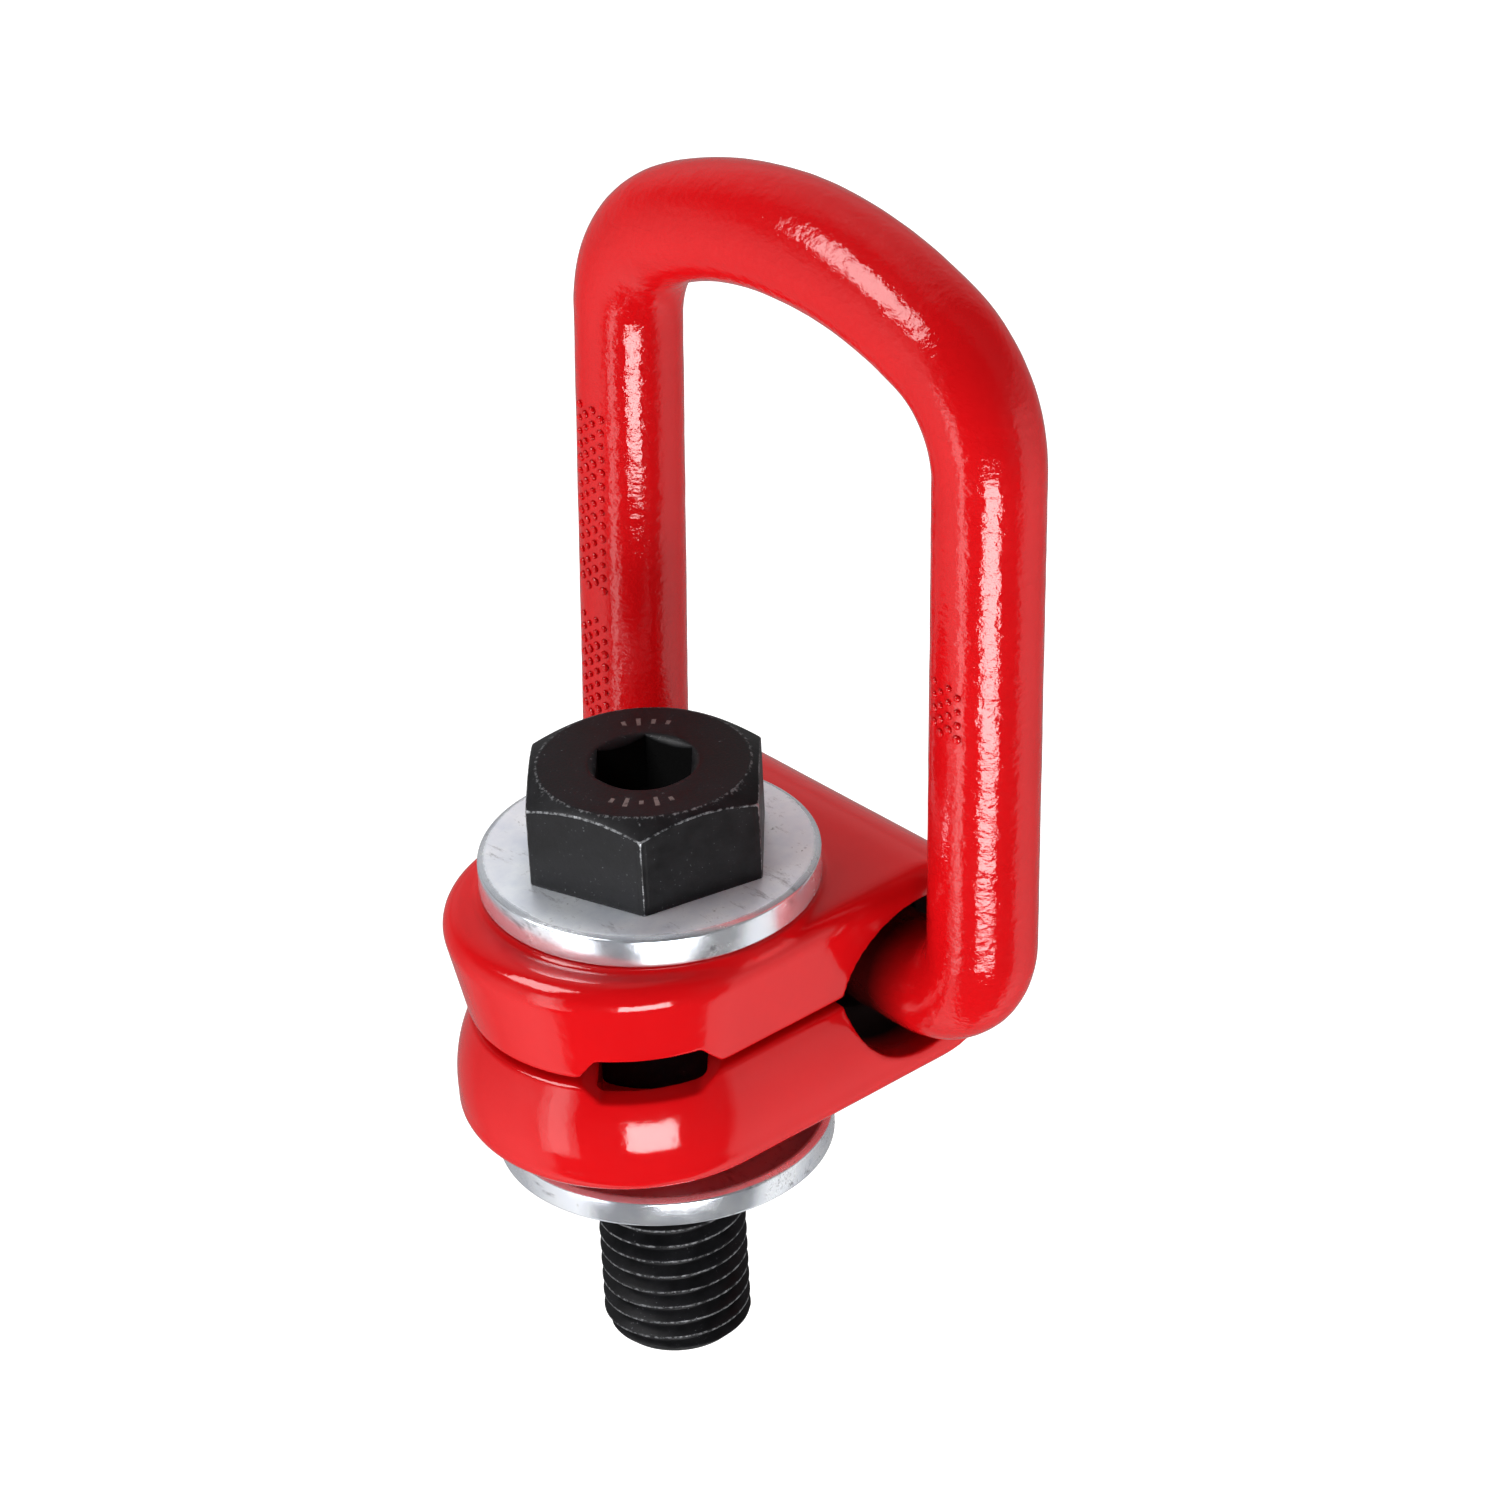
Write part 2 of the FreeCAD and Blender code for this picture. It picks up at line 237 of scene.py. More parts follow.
class Nodes:
    """Short names for building the node tree of a material or a world."""

    def __init__(self, owner, shader="Principled BSDF", coordinates="Object"):
        owner.use_nodes = True
        self.owner = owner
        self.tree = owner.node_tree
        self.shader = self.tree.nodes[shader]
        self.coords = self.tree.nodes.new("ShaderNodeTexCoord").outputs[coordinates]

    def add(self, kind, inputs=(), **settings):
        node = self.tree.nodes.new(kind)
        for key, value in settings.items():
            setattr(node, key, value)
        for key, value in dict(inputs).items():
            self.link(value, node.inputs[key])
        return node

    def link(self, value, socket):
        if isinstance(value, bpy.types.NodeSocket):
            self.tree.links.new(value, socket)
        else:
            socket.default_value = value

    def math(self, operation, a, b=0.0, clamp=False):
        node = self.add("ShaderNodeMath", {0: a, 1: b}, operation=operation, use_clamp=clamp)
        return node.outputs[0]

    def scaled(self, factors):
        node = self.add("ShaderNodeMapping", {"Vector": self.coords, "Scale": factors})
        return node.outputs[0]

    def noise(self, scale, detail=3.0, roughness=0.5, vector=None, distortion=0.0):
        inputs = {"Vector": vector or self.coords, "Scale": scale, "Detail": detail,
                  "Roughness": roughness, "Distortion": distortion}
        return self.add("ShaderNodeTexNoise", inputs).outputs["Fac"]

    def ramp(self, value, low, high, to_low=0.0, to_high=1.0):
        """Maps low..high to to_low..to_high, and holds the ends."""
        inputs = {"Value": value, "From Min": low, "From Max": high, "To Min": to_low, "To Max": to_high}
        return self.add("ShaderNodeMapRange", inputs).outputs["Result"]

    def mix(self, factor, a, b):
        """Blends two colours: sockets 0, 6 and 7 are the node's factor and its pair of colours."""
        node = self.add("ShaderNodeMix", data_type="RGBA")
        self.link(factor, node.inputs[0])
        self.link(a, node.inputs[6])
        self.link(b, node.inputs[7])
        return node.outputs[2]

    def bump(self, height, distance, strength=1.0, normal=None):
        inputs = {"Height": height, "Distance": distance, "Strength": strength}
        if normal is not None:
            inputs["Normal"] = normal
        return self.add("ShaderNodeBump", inputs).outputs["Normal"]

    def set(self, **inputs):
        for key, value in inputs.items():
            self.link(value, self.shader.inputs[key.replace("_", " ")])


def material(name):
    return Nodes(bpy.data.materials.new(name))


def polar(n):
    """Radius and angle about the bolt's axis, and height."""
    parts = n.add("ShaderNodeSeparateXYZ", {0: n.coords}).outputs
    squares = n.math("ADD", n.math("POWER", parts[0], 2.0), n.math("POWER", parts[1], 2.0))
    return n.math("SQRT", squares), n.math("ARCTAN2", parts[1], parts[0]), parts[2]


def painted_tunnel_shade(n):
    """Mask of painted shade on the walls deep in the body's tunnel: near the pivot's axis, and away from the
    mouths.
    """
    pivot = joint_origin("bail_pivot")
    x, y, z = n.add("ShaderNodeSeparateXYZ", {0: n.coords}).outputs
    east = n.math("POWER", n.math("SUBTRACT", x, pivot.x), 2.0)
    rise = n.math("POWER", n.math("SUBTRACT", z, pivot.z), 2.0)
    near = n.ramp(n.math("SQRT", n.math("ADD", east, rise)), TUNNEL_REACH, TUNNEL_REACH - 0.3 * MM)
    return n.math("MULTIPLY", near, n.ramp(n.math("ABSOLUTE", y), *TUNNEL_SHADE_SPAN))


def painted_bar_shade(n):
    """Mask of painted shade on the middle of the bail's lower run, where it lies in the body's tunnel."""
    x, y, z = n.add("ShaderNodeSeparateXYZ", {0: n.coords}).outputs
    low = n.math("LESS_THAN", z, joint_origin("bail_pivot").z + 2.0 * BAR_R)
    return n.math("MULTIPLY", low, n.ramp(n.math("ABSOLUTE", y), *BAR_SHADE_SPAN, 0.0, 0.9))


def red_paint(name, swell, peel, stretch, bare_or_painted_shade, shade_roughness):
    """Thick gloss enamel over a forging: slow swells and orange peel, their heights in metres."""
    n = material(name)
    tone = n.noise(90.0, detail=4.0)
    color = n.mix(tone, (0.50, 0.0030, 0.0046, 1), (0.57, 0.0040, 0.0060, 1))
    # Painted shade: where the mask is high the red turns near-black and its gloss dulls, as painted shade in
    # the tunnel and on the pivot bar
    shade_amount = bare_or_painted_shade(n)
    color = n.mix(shade_amount, color, (0.009, 0.003, 0.003, 1))
    slow = n.noise(330.0, detail=4.0, roughness=0.55, distortion=0.4, vector=n.scaled(stretch))
    normal = n.bump(n.noise(1000.0, detail=3.0), peel, normal=n.bump(slow, swell))
    dull = n.math("MULTIPLY", shade_amount, shade_roughness)
    rough = n.math("MAXIMUM", n.ramp(n.noise(700.0), 0.3, 0.7, 0.07, 0.12), dull)
    n.set(Base_Color=color, Roughness=rough, Normal=normal, IOR=1.42)
    return n.owner


def etched_ticks(n, top):
    """Mask of short radial ticks of uneven length on the head's top face, in two opposite groups."""
    radius, angle, height = polar(n)
    turned_angle = n.math("SUBTRACT", angle, HEAD_TURN)
    group = n.math("GREATER_THAN", n.math("ABSOLUTE", n.math("COSINE", turned_angle)), math.cos(TICK_GROUP))
    cell = n.math("DIVIDE", turned_angle, TICK_ANGLE)
    chance = n.add("ShaderNodeTexWhiteNoise", {"W": n.math("FLOOR", cell)}, noise_dimensions="1D")
    across = n.math("ABSOLUTE", n.math("SUBTRACT", n.math("FRACT", cell), 0.5))
    thin = n.math("LESS_THAN", across, 0.15)
    reach = n.ramp(chance.outputs["Value"], 0.0, 1.0, 0.45 * MM, 1.25 * MM)
    along = n.math("ABSOLUTE", n.math("SUBTRACT", radius, TICK_RADIUS))
    inside = n.math("LESS_THAN", along, reach)
    on_top = n.math("GREATER_THAN", height, top - 0.02 * MM)
    return n.math("MULTIPLY", n.math("MULTIPLY", group, thin), n.math("MULTIPLY", inside, on_top))


def worn_black(name, dark, bare_or_painted_shade, polish, ticks_top=None):
    """Black oxide over steel: bright where the mesh's attribute is high at rubbed edges, and painted
    near-black as painted shade where it is below zero, in the socket's hollow.
    """
    n = material(name)
    wear_and_shade = n.add("ShaderNodeAttribute", attribute_name="wear_and_shade", attribute_type="GEOMETRY").outputs["Fac"]
    patches = n.noise(1500.0, detail=5.0, roughness=0.65)
    rubbed = n.ramp(n.math("ADD", wear_and_shade, n.math("MULTIPLY", patches, 0.9)), 1.05, 1.40)
    cloud = n.ramp(n.noise(300.0, detail=7.0, roughness=0.66), 0.30, 0.72)
    specks = n.ramp(n.noise(2600.0, detail=3.0, roughness=0.6), 0.66, 0.78, 0.0, 0.55)
    scuffed = n.math("MAXIMUM", rubbed, n.math("MULTIPLY", specks, n.ramp(cloud, 0.40, 0.70)))
    body = n.mix(cloud, dark, tuple(3.0 * c for c in dark[:3]) + (1,))
    if ticks_top is not None:
        ticks = n.math("MULTIPLY", etched_ticks(n, ticks_top), n.ramp(patches, 0.35, 0.50, 0.35, 1.0))
        body = n.mix(ticks, body, (0.16, 0.125, 0.12, 1))
    # Painted shade: below zero, in the socket, the oxide is painted near-black, matt and not metallic
    socket_shade = n.ramp(wear_and_shade, 0.0, SOCKET_SHADE_WEAR)
    dull = n.math("SUBTRACT", cloud, n.math("MULTIPLY", scuffed, 0.3))
    n.set(
        Base_Color=n.mix(socket_shade, n.mix(scuffed, body, bare_or_painted_shade), (0.0005, 0.0005, 0.0005, 1)),
        Metallic=n.math("SUBTRACT", scuffed, socket_shade, clamp=True),
        Roughness=n.math("MAXIMUM", n.ramp(dull, 0.0, 1.0, polish, polish + 0.18), socket_shade),
        Normal=n.bump(n.noise(1900.0, detail=5.0, roughness=0.6), 0.00003),
        Specular_IOR_Level=0.22,
    )
    return n.owner


def zinc_plate(name, face_metallic, face_painted_shade):
    """Zinc over turned steel: stained faces, a face that can be painted darker as painted shade, and a
    brighter rim with scratches and circular marks.
    """
    n = material(name)
    radius, angle, height = polar(n)
    rim = n.ramp(radius, *RIM_RADII)
    rings = n.add("ShaderNodeCombineXYZ", {0: n.math("MULTIPLY", radius, 900.0),
                                           1: n.math("MULTIPLY", angle, 2.2),
                                           2: n.math("MULTIPLY", height, 900.0)}).outputs[0]
    turning = n.noise(1.6, detail=4.0, vector=rings)
    stains = n.noise(150.0, detail=8.0, roughness=0.70)
    fine = n.noise(1300.0, detail=4.0, roughness=0.7)
    specks = n.math("MULTIPLY", n.ramp(fine, 0.59, 0.68, 0.0, 0.8), n.ramp(stains, 0.50, 0.62))
    streak = n.noise(110.0, detail=9.0, roughness=0.76, vector=n.scaled((3.5, 1.0, 3.0)))
    lines = n.ramp(streak, 0.56, 0.66, 0.0, 0.65)
    dirt = n.math("MAXIMUM", specks, lines)
    clean = n.mix(n.ramp(stains, 0.34, 0.62), (0.77, 0.81, 0.90, 1), (0.93, 0.96, 1.0, 1))
    dirty = n.mix(dirt, clean, (0.20, 0.20, 0.22, 1))
    n.set(
        # Painted shade: inside the rim the face is painted towards grey-black by its shade share, which the
        # flange uses for the shade under the body
        Base_Color=n.mix(n.ramp(rim, 0.0, 1.0, face_painted_shade, 0.0), dirty, (0.10, 0.10, 0.11, 1)),
        Metallic=n.ramp(rim, 0.0, 1.0, face_metallic, 0.82),
        Roughness=n.math("ADD", n.ramp(stains, 0.3, 0.7, -0.05, 0.08), n.ramp(rim, 0.0, 1.0, 0.34, 0.22)),
        Normal=n.bump(turning, 0.000006, normal=n.bump(stains, 0.000018)),
    )
    return n.owner


def spring_steel():
    """Oiled black spring steel with a grain along the strip."""
    n = material("spring_steel")
    grain = n.noise(900.0, detail=5.0, vector=n.scaled((1.0, 0.2, 1.0)))
    n.set(
        Base_Color=n.mix(grain, (0.008, 0.008, 0.010, 1), (0.024, 0.024, 0.028, 1)),
        Metallic=1.0,
        Roughness=n.ramp(grain, 0.3, 0.7, 0.45, 0.60),
    )
    return n.owner


def floor_white():
    """Matt white with a glow of its own, so that it nearly matches the white behind it."""
    n = material("floor_white")
    n.set(
        Base_Color=(0.50, 0.50, 0.50, 1),
        Roughness=1.0,
        Specular_IOR_Level=0.0,
        Emission_Color=(1.0, 1.0, 1.0, 1),
        Emission_Strength=0.85,
    )
    return n.owner


# ---------------------------------------------------------------- forged pieces


def forged(name, node, smoothing, waves):
    """A red forging: the CAD shape with its edges softened, and slow waves that only cut inward."""
    source = frame["nodes"][node]
    mesh = source.data.copy()
    mesh.materials.clear()
    work = bmesh.new()
    work.from_mesh(mesh)
    bmesh.ops.remove_doubles(work, verts=work.verts, dist=1e-7)
    work.to_mesh(mesh)
    work.free()
    obj = bpy.data.objects.new(name, mesh)
    bpy.context.scene.collection.objects.link(obj)
    remesh = obj.modifiers.new("remesh", "REMESH")
    remesh.mode = "VOXEL"
    remesh.voxel_size = VOXEL
    remesh.use_smooth_shade = True
    soften = obj.modifiers.new("soften", "SMOOTH")
    soften.factor = 0.5
    soften.iterations = smoothing
    apply_modifiers(obj)
    ripple(obj, waves)
    obj.data.polygons.foreach_set("use_smooth", [True] * len(obj.data.polygons))
    return obj


def ripple(obj, depth):
    """Moves each point inward by a smooth noise of its place, like the skin of a forging."""
    mesh = obj.data
    count = len(mesh.vertices)
    co = np.empty(count * 3)
    mesh.vertices.foreach_get("co", co)
    co = co.reshape(-1, 3)
    normals = np.empty(count * 3)
    mesh.vertices.foreach_get("normal", normals)
    normals = normals.reshape(-1, 3)
    shift = np.empty(count)
    for i, p in enumerate(co):
        slow = noise.noise(Vector(p) * 120.0)
        quick = noise.noise(Vector(p) * 330.0)
        shift[i] = 0.5 + 0.32 * slow + 0.18 * quick
    co -= normals * (np.clip(shift, 0.0, 1.0) * depth)[:, None]
    mesh.vertices.foreach_set("co", co.ravel())
    mesh.update()


def bead_matrix(side, across, along, radius):
    """Places a unit sphere as a flat bead, half sunk in the bolt-side face of a leg."""
    turn = across / BAR_R
    outward = Vector((-math.cos(turn), math.sin(turn), 0.0))
    sideways = Vector((math.sin(turn), math.cos(turn), 0.0))
    axes = Matrix((sideways * radius, Vector((0.0, 0.0, radius)), outward * BEAD_PROUD))
    middle = outward * BAR_R + Vector((0.0, side * LEG_SPACING / 2.0, along))
    lean = Matrix.Rotation(BAIL_LEAN, 4, "Y")
    placed = Matrix.Translation(middle) @ axes.transposed().to_4x4()
    return Matrix.Translation(joint_origin("bail_pivot")) @ lean @ placed


def add_beads(ring):
    """Bands of plain beads on the legs, in place of a maker's lettering."""
    work = bmesh.new()
    for side, start, count in BEAD_RUNS:
        for row, across in enumerate(BEAD_ROWS):
            for k in range(count):
                along = start + (k + 0.5 * (row % 2)) * BEAD_PITCH
                radius = BEAD_R * (1.0 - BEAD_UNEVENNESS * math.sin(7.0 * k + 3.0 * row) ** 2)
                place = bead_matrix(side, across, along, radius)
                bmesh.ops.create_icosphere(work, subdivisions=3, radius=1.0, matrix=place)
    for face in work.faces:
        face.smooth = True
    work.from_mesh(ring.data)
    work.to_mesh(ring.data)
    work.free()


# ---------------------------------------------------------------- bolt


def hexagon_radius(angle, across_flats, rounding):
    """Radius of a hexagon's edge at an angle from one of its corners, the corner rounded."""
    off = (angle + math.pi / 6.0) % (math.pi / 3.0) - math.pi / 6.0
    flat = across_flats / 2.0
    straight = flat / math.cos(math.pi / 6.0 - abs(off))
    if rounding == 0.0:
        return straight
    centre = (flat - rounding) / math.cos(math.pi / 6.0)
    inside = rounding ** 2 - (centre * math.sin(off)) ** 2
    if inside <= 0.0:
        return straight
    return min(straight, centre * math.cos(off) + math.sqrt(inside))


def bolt_angles():
    """Angles round the bolt, close together at the hexagon's corners."""
    per_corner = 40
    angles = []
    for corner in range(6):
        for k in range(per_corner):
            u = (k + 0.5) / per_corner * 2.0 - 1.0
            off = math.copysign(abs(u) ** 1.8, u) * math.pi / 6.0
            angles.append(corner * math.pi / 3.0 + off)
    return angles


def thread_radius(angle, height, tip):
    """Surface of a right-hand thread with flat crests, cut to a cone at the tip."""
    phase = (height / THREAD_PITCH - (angle + HEAD_TURN) / (2.0 * math.pi)) % 1.0
    distance = abs(phase - 0.5) * THREAD_PITCH
    crest = THREAD_PITCH / 16.0
    drop = (distance - crest) / math.tan(math.radians(30.0))
    radius = THREAD_R - min(max(drop, 0.0), THREAD_DEPTH)
    return min(radius, TIP_R + (height - tip))


def even(value):
    return lambda angle: value


def moved(shape, distance):
    return lambda angle: shape(angle) + distance


def head_side(angle):
    return hexagon_radius(angle, HEAD_AF, CORNER_ROUND)


def socket_side(angle):
    return hexagon_radius(angle, SOCKET_AF, 0.0)


def worn(everywhere, at_corners):
    """Wear round the head, with more of it within a degree or so of each corner."""
    def wear_and_shade(angle):
        off = (angle + math.pi / 6.0) % (math.pi / 3.0) - math.pi / 6.0
        return everywhere + at_corners * max(0.0, 1.0 - abs(off) / math.radians(1.6))
    return wear_and_shade


def head_profile(top, seat):
    """Rings of the head as (radius, height, wear), from the socket's floor out and down to the shank."""
    slope = CORNER_DROP / (HEAD_AF / math.sqrt(3.0) - CHAMFER_CIRCLE_R)
    floor = top - SOCKET_DEPTH

    def on_cone(angle):
        return top - slope * (head_side(angle) - CHAMFER_CIRCLE_R)

    def on_rim(angle):
        return top - (SOCKET_RIM_R - socket_side(angle)) * 0.6

    def up_side(share):
        return lambda angle: seat + share * (on_cone(angle) - seat)

    socket = [
        (even(0.02 * MM), even(floor - 1.5 * MM), even(SOCKET_SHADE_WEAR)),
        (lambda angle: 0.9 * socket_side(angle), even(floor), even(SOCKET_SHADE_WEAR)),
        (socket_side, even(floor + 0.3 * MM), even(SOCKET_SHADE_WEAR)),
        (socket_side, moved(on_rim, -0.3 * MM), even(SOCKET_SHADE_WEAR)),
        (socket_side, on_rim, even(0.5)),
    ]
    face = [
        (even(SOCKET_RIM_R - 0.1 * MM), even(top - 0.05 * MM), even(0.5)),
        (even(SOCKET_RIM_R + 0.1 * MM), even(top), even(0.3)),
        (even(SOCKET_RIM_R + 0.5 * MM), even(top), even(0.0)),
        (even(10.5 * MM), even(top), even(0.0)),
        (even(CHAMFER_CIRCLE_R - 0.4 * MM), even(top), even(0.15)),
        (even(CHAMFER_CIRCLE_R - EDGE), even(top), even(0.62)),
    ]
    chamfer = [
        (even(CHAMFER_CIRCLE_R + EDGE), even(top - 0.14 * slope * MM), even(0.62)),
        (moved(head_side, -0.35 * MM), moved(on_cone, 0.35 * slope * MM), worn(0.1, 0.3)),
        (moved(head_side, -EDGE), moved(on_cone, 0.10 * slope * MM), worn(0.66, 0.3)),
        (head_side, moved(on_cone, -0.14 * MM), worn(0.70, 0.3)),
        (head_side, moved(on_cone, -0.45 * MM), worn(0.1, 0.75)),
    ]
    side = [(head_side, up_side(share), worn(0.0, 0.72)) for share in (0.75, 0.5, 0.25)]
    foot = [
        (head_side, even(seat + 0.4 * MM), worn(0.0, 0.75)),
        (head_side, even(seat + EDGE), worn(0.35, 0.6)),
        (moved(head_side, -EDGE), even(seat), even(0.3)),
        (even(THREAD_R), even(seat), even(0.0)),
    ]
    return socket + face + chamfer + side + foot


def thread_row(height, tip):
    """One ring of the thread, bright on its crests."""
    def radius(angle):
        return thread_radius(angle, height, tip)

    def wear_and_shade(angle):
        return max(0.0, 1.0 - (THREAD_R - radius(angle)) / CREST_BAND) * 0.66

    return radius, even(height), wear_and_shade


def shank_profile(tip):
    """Rings of the plain shank and of the thread, down to the middle of the tip."""
    rows = int(round((THREAD_TOP - tip) / THREAD_ROW))
    profile = [(even(THREAD_R), even(THREAD_TOP + 0.5 * MM), even(0.0))]
    for row in range(rows + 1):
        profile.append(thread_row(THREAD_TOP + (tip - THREAD_TOP) * row / rows, tip))
    profile.append((even(0.02 * MM), even(tip), even(0.0)))
    return profile


def hoist_bolt():
    """The bolt as one closed surface of rings round its axis, with a wear value at each point."""
    low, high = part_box("hoist_bolt")
    profile = head_profile(high.z, high.z - HEAD_HEIGHT) + shank_profile(low.z)
    angles = bolt_angles()
    verts = []
    wear_and_shade_values = []
    for radius, height, wear_and_shade in profile:
        for angle in angles:
            turn = angle + HEAD_TURN
            out = radius(angle)
            verts.append((out * math.cos(turn), out * math.sin(turn), height(angle)))
            wear_and_shade_values.append(wear_and_shade(angle))
    around = len(angles)
    faces = ring_faces(len(profile), around)
    faces.append(tuple(range(around)))
    last = (len(profile) - 1) * around
    faces.append(tuple(reversed(range(last, last + around))))
    obj = new_piece("hoist_bolt_detailed", verts, faces)
    fix_normals(obj)
    attribute = obj.data.attributes.new("wear_and_shade", "FLOAT", "POINT")
    attribute.data.foreach_set("value", wear_and_shade_values)
    return obj


# ---------------------------------------------------------------- plated discs


def plated_disc(name, node, inner):
    """A turned disc with a broad soft bevel on its upper edge and a small one below."""
    low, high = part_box(node)
    outer = high.x
    profile = rounded([
        (inner, low.z, 0.3 * MM),
        (outer, low.z, 0.5 * MM),
        (outer, high.z - 0.45 * MM, 0.3 * MM),
        (outer - 0.95 * MM, high.z, 0.3 * MM),
        (inner, high.z, 0.3 * MM),
    ])
    return turned(name, profile)


# ---------------------------------------------------------------- the object


def paint(obj, material):
    obj.data.materials.clear()
    obj.data.materials.append(material)


def mounted(obj, body, node, material):
    """Paints a piece, rides it on its body, and puts it in the place of its CAD node."""
    paint(obj, material)
    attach(obj, body)
    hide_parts(node)


def build_object():
    # The tunnel's walls and the middle of the bail's pivot bar are painted near-black there, as painted
    # shade, through their masks
    body_red = red_paint("red_paint", 0.000050, 0.000006, (1.0, 1.0, 1.0), painted_tunnel_shade, 1.0)
    bail_red = red_paint("red_paint_bail", 0.000120, 0.000090, (1.0, 1.0, 1.7), painted_bar_shade, 0.12)
    head_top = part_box("hoist_bolt")[1].z
    black = worn_black("black_oxide", (0.0034, 0.0034, 0.0040, 1), (0.42, 0.43, 0.45, 1), 0.38, head_top)
    sleeve_black = worn_black("black_sleeve", (0.006, 0.006, 0.007, 1), (0.3, 0.3, 0.32, 1), 0.42)
    washer_zinc = zinc_plate("zinc_plate", 0.28, 0.0)
    # The flange's face is painted darker, as painted shade under the body
    flange_zinc = zinc_plate("zinc_plate_flange", 0.90, 0.75)
    steel = spring_steel()
    body = forged("swivel_body_forged", "swivel_body", *BODY_SKIN)
    mounted(body, "swivel", "swivel_body", body_red)
    ring = forged("bail_forged", "bail", *BAIL_SKIN)
    add_beads(ring)
    mounted(ring, "bail", "bail", bail_red)
    mounted(hoist_bolt(), "bolt", "hoist_bolt", black)
    washer = plated_disc("load_washer_turned", "load_washer", WASHER_BORE_R)
    mounted(washer, "bolt", "load_washer", washer_zinc)
    flange = plated_disc("bushing_flange_turned", "bushing_flange", FLANGE_BORE_R)
    mounted(flange, "bushing", "bushing_flange", flange_zinc)
    paint(frame["nodes"]["bushing_sleeve"], sleeve_black)
    paint(frame["nodes"]["bolt_retaining_ring"], steel)
    paint(frame["nodes"]["bail_friction_spring"], steel)


# ---------------------------------------------------------------- stage


def area_light(name, azimuth, elevation, distance, size, radiance, glossy):
    """A panel that faces the object, seen only in reflections or only by its soft light."""
    data = bpy.data.lights.new(name, "AREA")
    data.shape = "RECTANGLE"
    data.size, data.size_y = size
    data.energy = radiance * math.pi * size[0] * size[1]
    light = bpy.data.objects.new(name, data)
    bpy.context.scene.collection.objects.link(light)
    turn = math.radians(CAMERA_AZIMUTH + azimuth)
    rise = math.radians(elevation)
    away = Vector((math.sin(turn) * math.cos(rise), -math.cos(turn) * math.cos(rise), math.sin(rise)))
    light.location = Vector((0.0, 0.0, LIT_HEIGHT)) + away * distance
    light.rotation_euler = away.to_track_quat("Z", "Y").to_euler()
    light.visible_camera = False
    light.visible_glossy = glossy
    light.visible_diffuse = not glossy


def build_world():
    """White to the camera. To the object: pale at the sides, dark in front, a glow above and behind."""
    n = Nodes(bpy.data.worlds.new("studio"), "Background", "Generated")
    bpy.context.scene.world = n.owner
    turn = -math.radians(CAMERA_AZIMUTH + DARK_TURN)
    facing_camera = n.add("ShaderNodeMapping", {"Vector": n.coords, "Rotation": (0.0, 0.0, turn)}).outputs[0]
    x, y, z = n.add("ShaderNodeSeparateXYZ", {0: facing_camera}).outputs
    reach = n.math("SQRT", n.math("ADD", n.math("POWER", x, 2.0), n.math("POWER", y, 2.0)))
    facing = n.math("DIVIDE", n.math("MULTIPLY", y, -1.0), reach)
    edge = math.cos(math.radians(DARK_HALF_ANGLE))
    side = n.ramp(facing, edge + 0.05, edge - 0.05)
    behind = n.ramp(facing, 0.2, -0.5, 1.0, BACK_SHARE)
    low = n.ramp(z, 0.05, 0.40, 1.0, 0.15)
    glow = n.math("MULTIPLY", n.ramp(facing, -0.5, -0.9, 0.0, BACK_GLOW), n.ramp(z, 0.0, 0.25))
    level = n.math("MAXIMUM", n.math("MULTIPLY", behind, low), glow)
    bright = n.math("MULTIPLY", side, level)
    surroundings = n.ramp(bright, 0.0, 1.0, DIM_LEVEL, SIDE_LEVEL)
    seen = n.add("ShaderNodeLightPath").outputs["Is Camera Ray"]
    n.link(n.math("MAXIMUM", seen, surroundings), n.shader.inputs["Color"])


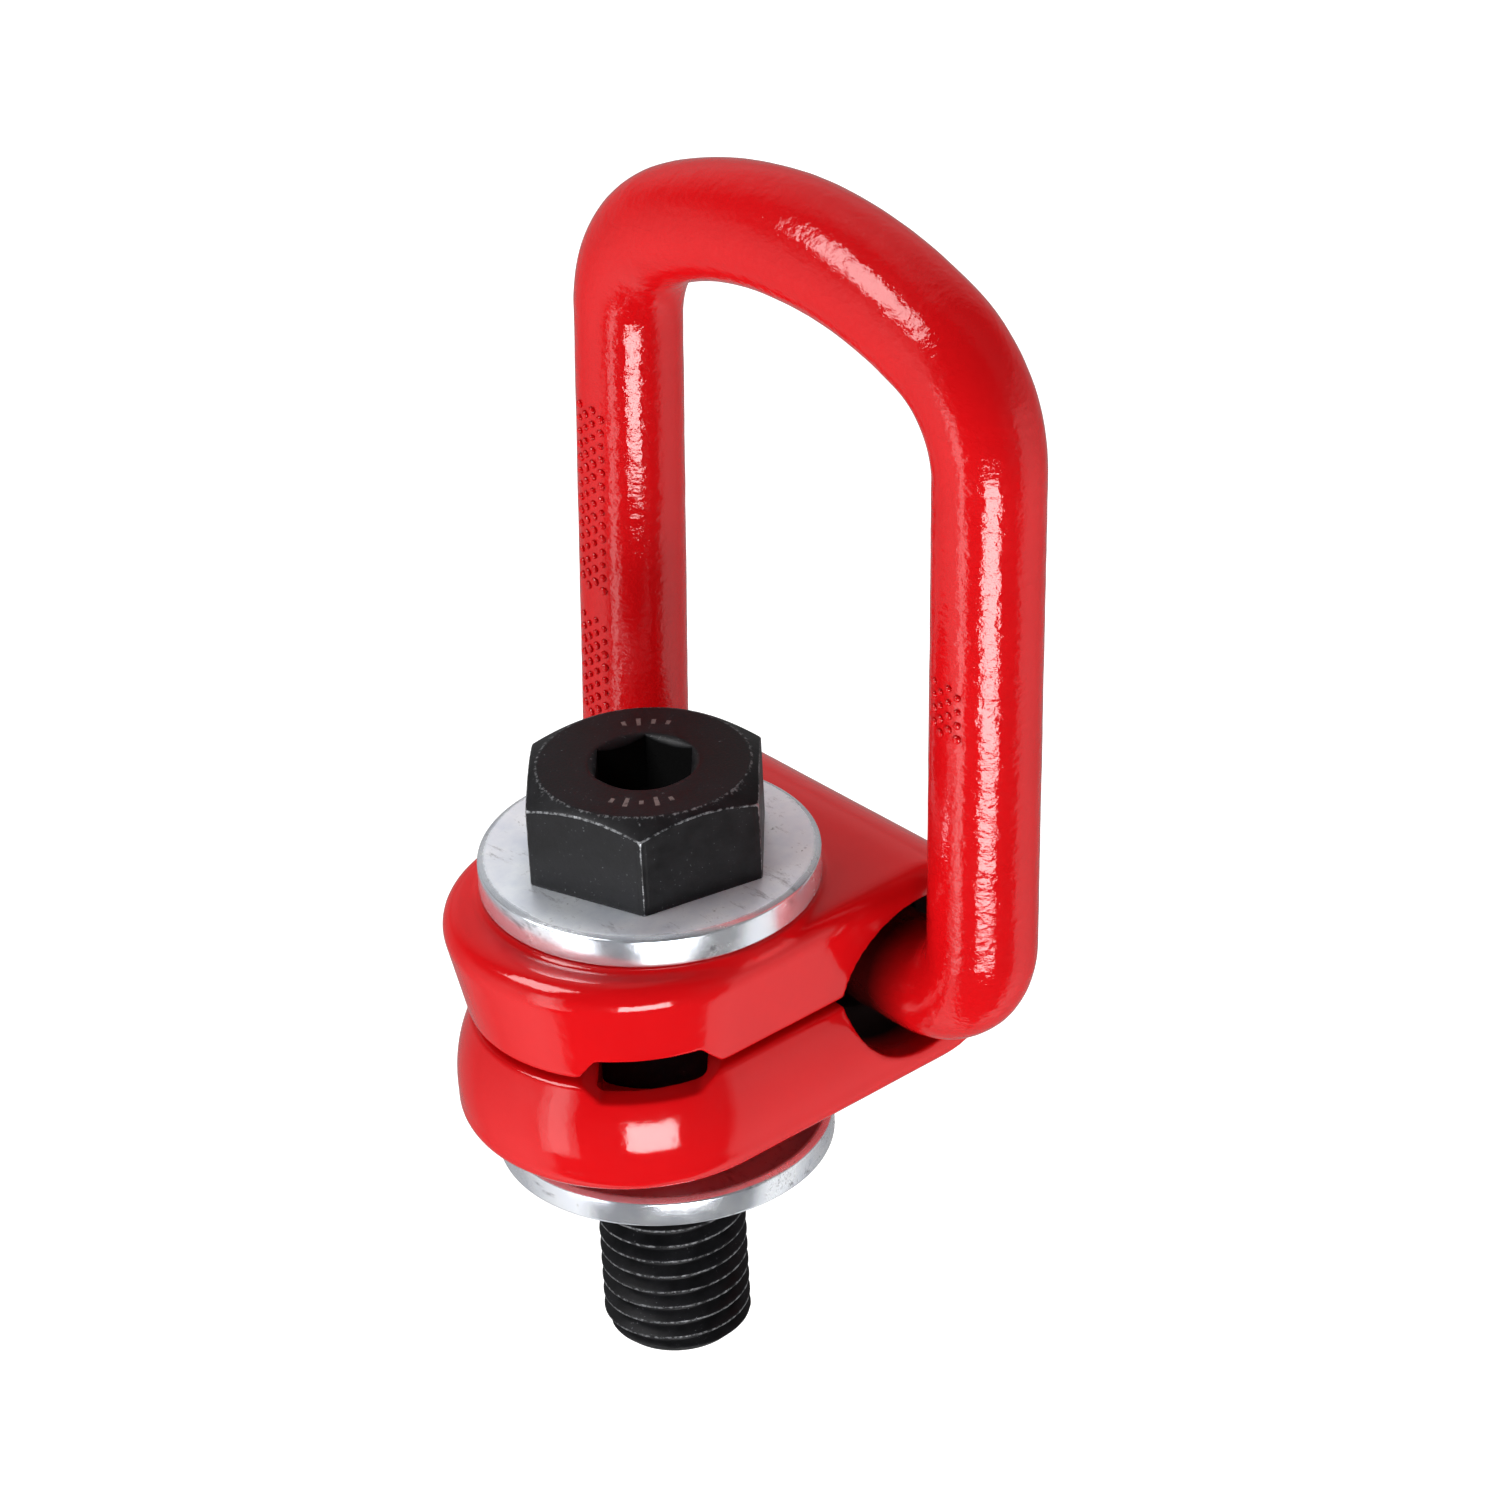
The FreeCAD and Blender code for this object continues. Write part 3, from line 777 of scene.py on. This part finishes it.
def build_stage():
    """A pale floor, the surroundings and the lights."""
    corners = [(x * FLOOR_HALF, y * FLOOR_HALF, 0.0) for x, y in ((-1, -1), (1, -1), (1, 1), (-1, 1))]
    floor = new_piece("floor", corners, [(0, 1, 2, 3)], smooth=False)
    floor.location.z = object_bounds()[0][2] - FLOOR_DROP
    floor.visible_glossy = False
    paint(floor, floor_white())
    build_world()
    area_light("front_box", 7.5, -16.4, 0.367, (0.182, 0.139), 18.0, True)
    area_light("left_box", -47, -9, 0.205, (0.040, 0.180), 3.4, True)
    area_light("left_box_edge", -47, -9, 0.205, (0.075, 0.200), 1.5, True)
    area_light("upper_left_box", -73, 50, 0.59, (0.32, 0.26), 11.0, True)
    area_light("front_fill", 6, -16.6, 0.366, (0.165, 0.139), 11.2, False)
    area_light("left_fill", -60, 14, 0.8, (0.6, 0.6), 4.4, False)
    area_light("upper_left_fill", -73, 52, 0.8, (0.4, 0.4), 1.8, False)
    area_light("right_fill", 60, 10, 0.8, (0.6, 0.6), 2.3, False)
    area_light("back_fill", 180, 60, 0.8, (0.3, 0.3), 15.5, False)


def build_camera():
    """Looks at the object from its azimuth and elevation, rolled and shifted in its own plane."""
    azimuth = math.radians(CAMERA_AZIMUTH)
    elevation = math.radians(CAMERA_ELEVATION)
    roll = math.radians(CAMERA_ROLL)
    back = Vector((math.sin(azimuth) * math.cos(elevation), -math.cos(azimuth) * math.cos(elevation),
                   math.sin(elevation)))
    level = Vector((math.cos(azimuth), math.sin(azimuth), 0.0))
    upright = back.cross(level)
    right = math.cos(roll) * level + math.sin(roll) * upright
    up = math.cos(roll) * upright - math.sin(roll) * level
    place = back * CAMERA_DISTANCE - right * CAMERA_OFFSET[0] - up * CAMERA_OFFSET[1]
    data = bpy.data.cameras.new("camera")
    data.sensor_width = CAMERA_SENSOR
    data.lens = CAMERA_LENS
    data.clip_start = 0.01
    data.clip_end = 20.0
    camera = bpy.data.objects.new("camera", data)
    bpy.context.scene.collection.objects.link(camera)
    axes = Matrix((right, up, back)).transposed().to_4x4()
    camera.matrix_world = Matrix.Translation(place) @ axes
    bpy.context.scene.camera = camera


build_object()
build_stage()
build_camera()
bpy.context.scene.view_settings.view_transform = "Standard"
